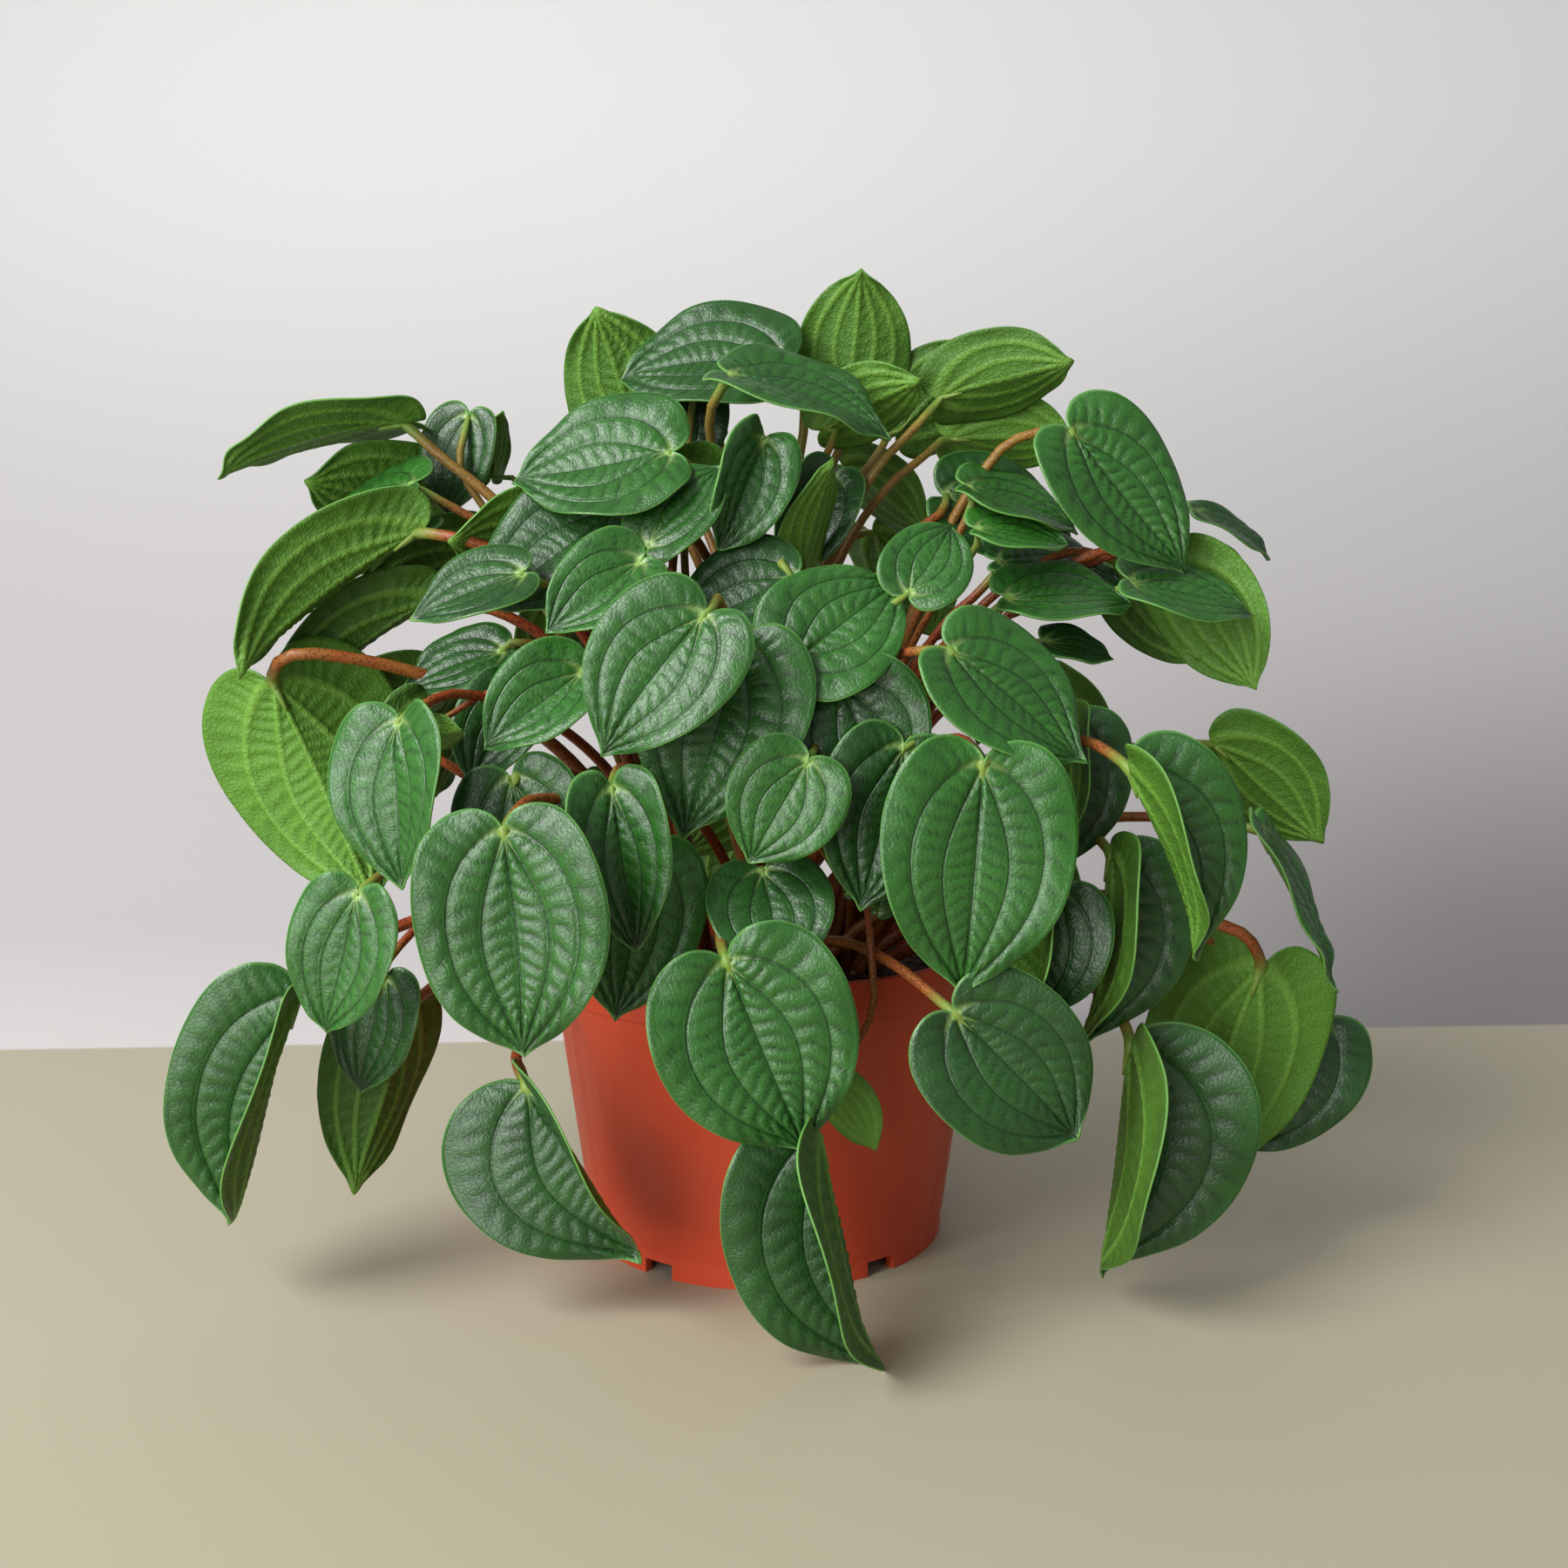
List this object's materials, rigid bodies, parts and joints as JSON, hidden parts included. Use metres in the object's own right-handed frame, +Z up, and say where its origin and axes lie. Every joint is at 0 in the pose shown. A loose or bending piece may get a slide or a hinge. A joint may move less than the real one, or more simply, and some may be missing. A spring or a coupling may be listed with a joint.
{
  "type": "potted peperomia",
  "caption": "Bushy peperomia with heart-shaped green leaves on long reddish stalks, in a plain orange-red nursery pot.",
  "frame": {"origin": "on the table, at the middle of the pot's foot", "axes": "+Z up along the pot's axis, -Y towards the front of the plant, +X to its right"},
  "size_m": [0.3783, 0.2893, 0.3332],
  "materials": {
    "pot_plastic": "matte moulded",
    "potting_soil": "rough, loose peat and bark",
    "stalk_skin": "satin",
    "leaf_skin": "satin, quilted between the veins"
  },
  "bodies": {
    "root": {"leaf_back_high_1": "leaf_skin", "leaf_back_high_2": "leaf_skin", "leaf_back_low_1": "leaf_skin", "leaf_back_low_2": "leaf_skin", "leaf_back_low_3": "leaf_skin", "leaf_back_middle_1": "leaf_skin", "leaf_back_middle_2": "leaf_skin", "leaf_back_middle_3": "leaf_skin", "leaf_back_middle_4": "leaf_skin", "leaf_crown_folded": "leaf_skin", "leaf_front_centre_dark": "leaf_skin", "leaf_front_centre_heart": "leaf_skin", "leaf_front_large": "leaf_skin", "leaf_front_left_behind": "leaf_skin", "leaf_front_left_folded": "leaf_skin", "leaf_front_left_large": "leaf_skin", "leaf_front_left_low": "leaf_skin", "leaf_front_lowest": "leaf_skin", "leaf_front_pointing_up": "leaf_skin", "leaf_front_right_large": "leaf_skin", "leaf_front_right_low": "leaf_skin", "leaf_front_right_upper": "leaf_skin", "leaf_front_small_heart": "leaf_skin", "leaf_front_upper_behind": "leaf_skin", "leaf_front_upper_left": "leaf_skin", "leaf_front_upper_right": "leaf_skin", "leaf_left_heart": "leaf_skin", "leaf_left_high_behind": "leaf_skin", "leaf_left_high_front": "leaf_skin", "leaf_left_highest": "leaf_skin", "leaf_left_inner_dark": "leaf_skin", "leaf_left_long": "leaf_skin", "leaf_left_long_lower": "leaf_skin", "leaf_left_low_large": "leaf_skin", "leaf_left_low_olive": "leaf_skin", "leaf_left_middle": "leaf_skin", "leaf_left_underside": "leaf_skin", "leaf_right_dark": "leaf_skin", "leaf_right_edge_on": "leaf_skin", "leaf_right_flat": "leaf_skin", "leaf_right_folded": "leaf_skin", "leaf_right_high_heart": "leaf_skin", "leaf_right_high_underside": "leaf_skin", "leaf_right_inner_flat": "leaf_skin", "leaf_right_low_large": "leaf_skin", "leaf_right_shoulder": "leaf_skin", "leaf_right_underside": "leaf_skin", "leaf_top_dark": "leaf_skin", "leaf_top_grey": "leaf_skin", "leaf_top_left_large": "leaf_skin", "leaf_top_left_upright": "leaf_skin", "leaf_top_right_folded": "leaf_skin", "leaf_top_upright": "leaf_skin", "pot": "pot_plastic", "shoot_back": "stalk_skin", "shoot_centre": "stalk_skin", "shoot_front": "stalk_skin", "shoot_left": "stalk_skin", "shoot_right": "stalk_skin", "soil": "potting_soil"}
  },
  "joints": []
}
